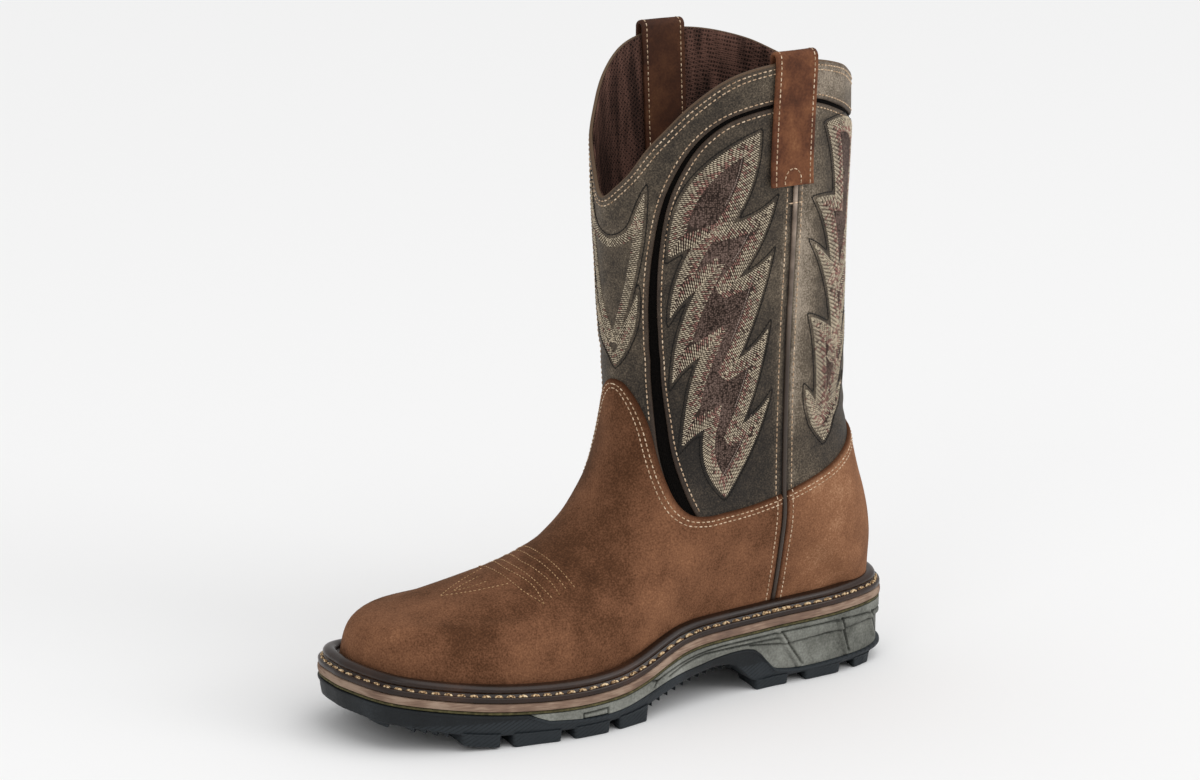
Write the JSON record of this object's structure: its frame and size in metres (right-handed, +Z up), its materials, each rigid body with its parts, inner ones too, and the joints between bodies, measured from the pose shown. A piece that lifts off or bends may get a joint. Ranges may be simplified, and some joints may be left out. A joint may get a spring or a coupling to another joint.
{
  "type": "pull-on safety boot",
  "caption": "Left pull-on western safety boot with a broad square toe, scalloped shaft, pull straps, stitched welt and lugged rubber sole.",
  "frame": {"origin": "on the floor under the middle of the boot's box, midway between heel and toe", "axes": "+Z up, -Y towards the toe, +X towards the outer side of the left foot"},
  "size_m": [0.123, 0.3097, 0.331],
  "materials": {
    "black_rubber": "matt moulded rubber",
    "grey_cushion": "matt moulded rubber",
    "olive_rubber": "matt, thin line",
    "tan_midsole": "matt sanded edge",
    "welt_leather": "dressed, satin gloss",
    "insole_fabric": "matt fabric",
    "shaft_leather": "distressed, low gloss",
    "vamp_leather": "oiled nubuck, matt",
    "strap_leather": "oiled nubuck, matt",
    "piping_leather": "satin cord"
  },
  "bodies": {
    "root": {"outsole": "black_rubber", "cushion": "grey_cushion", "slip_sole": "olive_rubber", "midsole": "tan_midsole", "welt": "welt_leather", "insole": "insole_fabric", "upper": "shaft_leather", "vamp": "vamp_leather", "heel_counter": "vamp_leather", "pull_strap_left": "strap_leather", "pull_strap_right": "strap_leather", "side_piping_left": "piping_leather", "side_piping_right": "piping_leather"}
  },
  "joints": []
}
